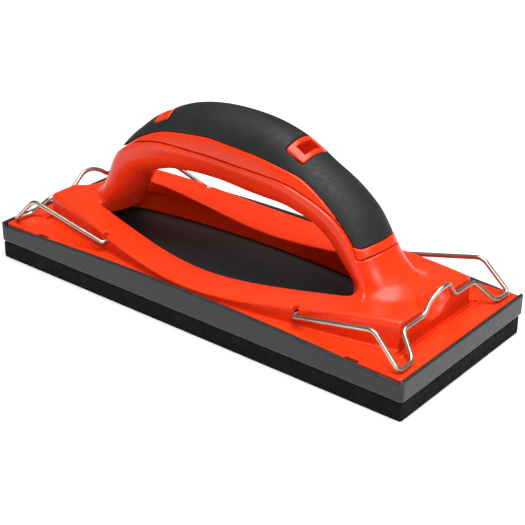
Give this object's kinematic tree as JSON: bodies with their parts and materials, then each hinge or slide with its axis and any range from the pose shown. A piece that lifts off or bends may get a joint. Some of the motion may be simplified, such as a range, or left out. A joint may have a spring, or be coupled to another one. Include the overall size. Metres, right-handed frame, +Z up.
{
  "type": "hand sander",
  "caption": "Rectangular hand sanding float with a bow handle, a soft sole under a shallow tray and sprung wire paper clips at both ends.",
  "frame": {"origin": "middle of the sole's underside, on the surface that the tool stands on", "axes": "+X along the length, towards the steeper leg of the handle; +Y across the width; +Z up, away from the sole"},
  "size_m": [0.21, 0.085, 0.0804],
  "materials": {
    "sole_rubber": "matt black, smooth skin",
    "tray_plastic": "dark grey moulded plastic, fine satin grain",
    "body_plastic": "orange-red moulded plastic, satin gloss",
    "grip_rubber": "dark grey soft-touch rubber, matt",
    "screw_steel": "zinc-plated steel",
    "clip_wire": "nickel-plated spring wire"
  },
  "bodies": {
    "sander": {"sole_pad": "sole_rubber", "base_tray": "tray_plastic", "body": "body_plastic", "handle_cover": "body_plastic", "soft_grip": "grip_rubber", "handle_screw_1": "screw_steel", "handle_screw_2": "screw_steel"},
    "clip_left": {"left_clip": "clip_wire"},
    "clip_right": {"right_clip": "clip_wire"}
  },
  "joints": [
    {"name": "left_clip_hinge", "type": "hinge", "parent": "sander", "child": "clip_left", "pos_m": [-0.05, 0, 0.0203], "axis": [0, 1, 0], "range_deg": [0, 60]},
    {"name": "right_clip_hinge", "type": "hinge", "parent": "sander", "child": "clip_right", "pos_m": [0.05, 0, 0.0203], "axis": [0, -1, 0], "range_deg": [0, 60]}
  ]
}
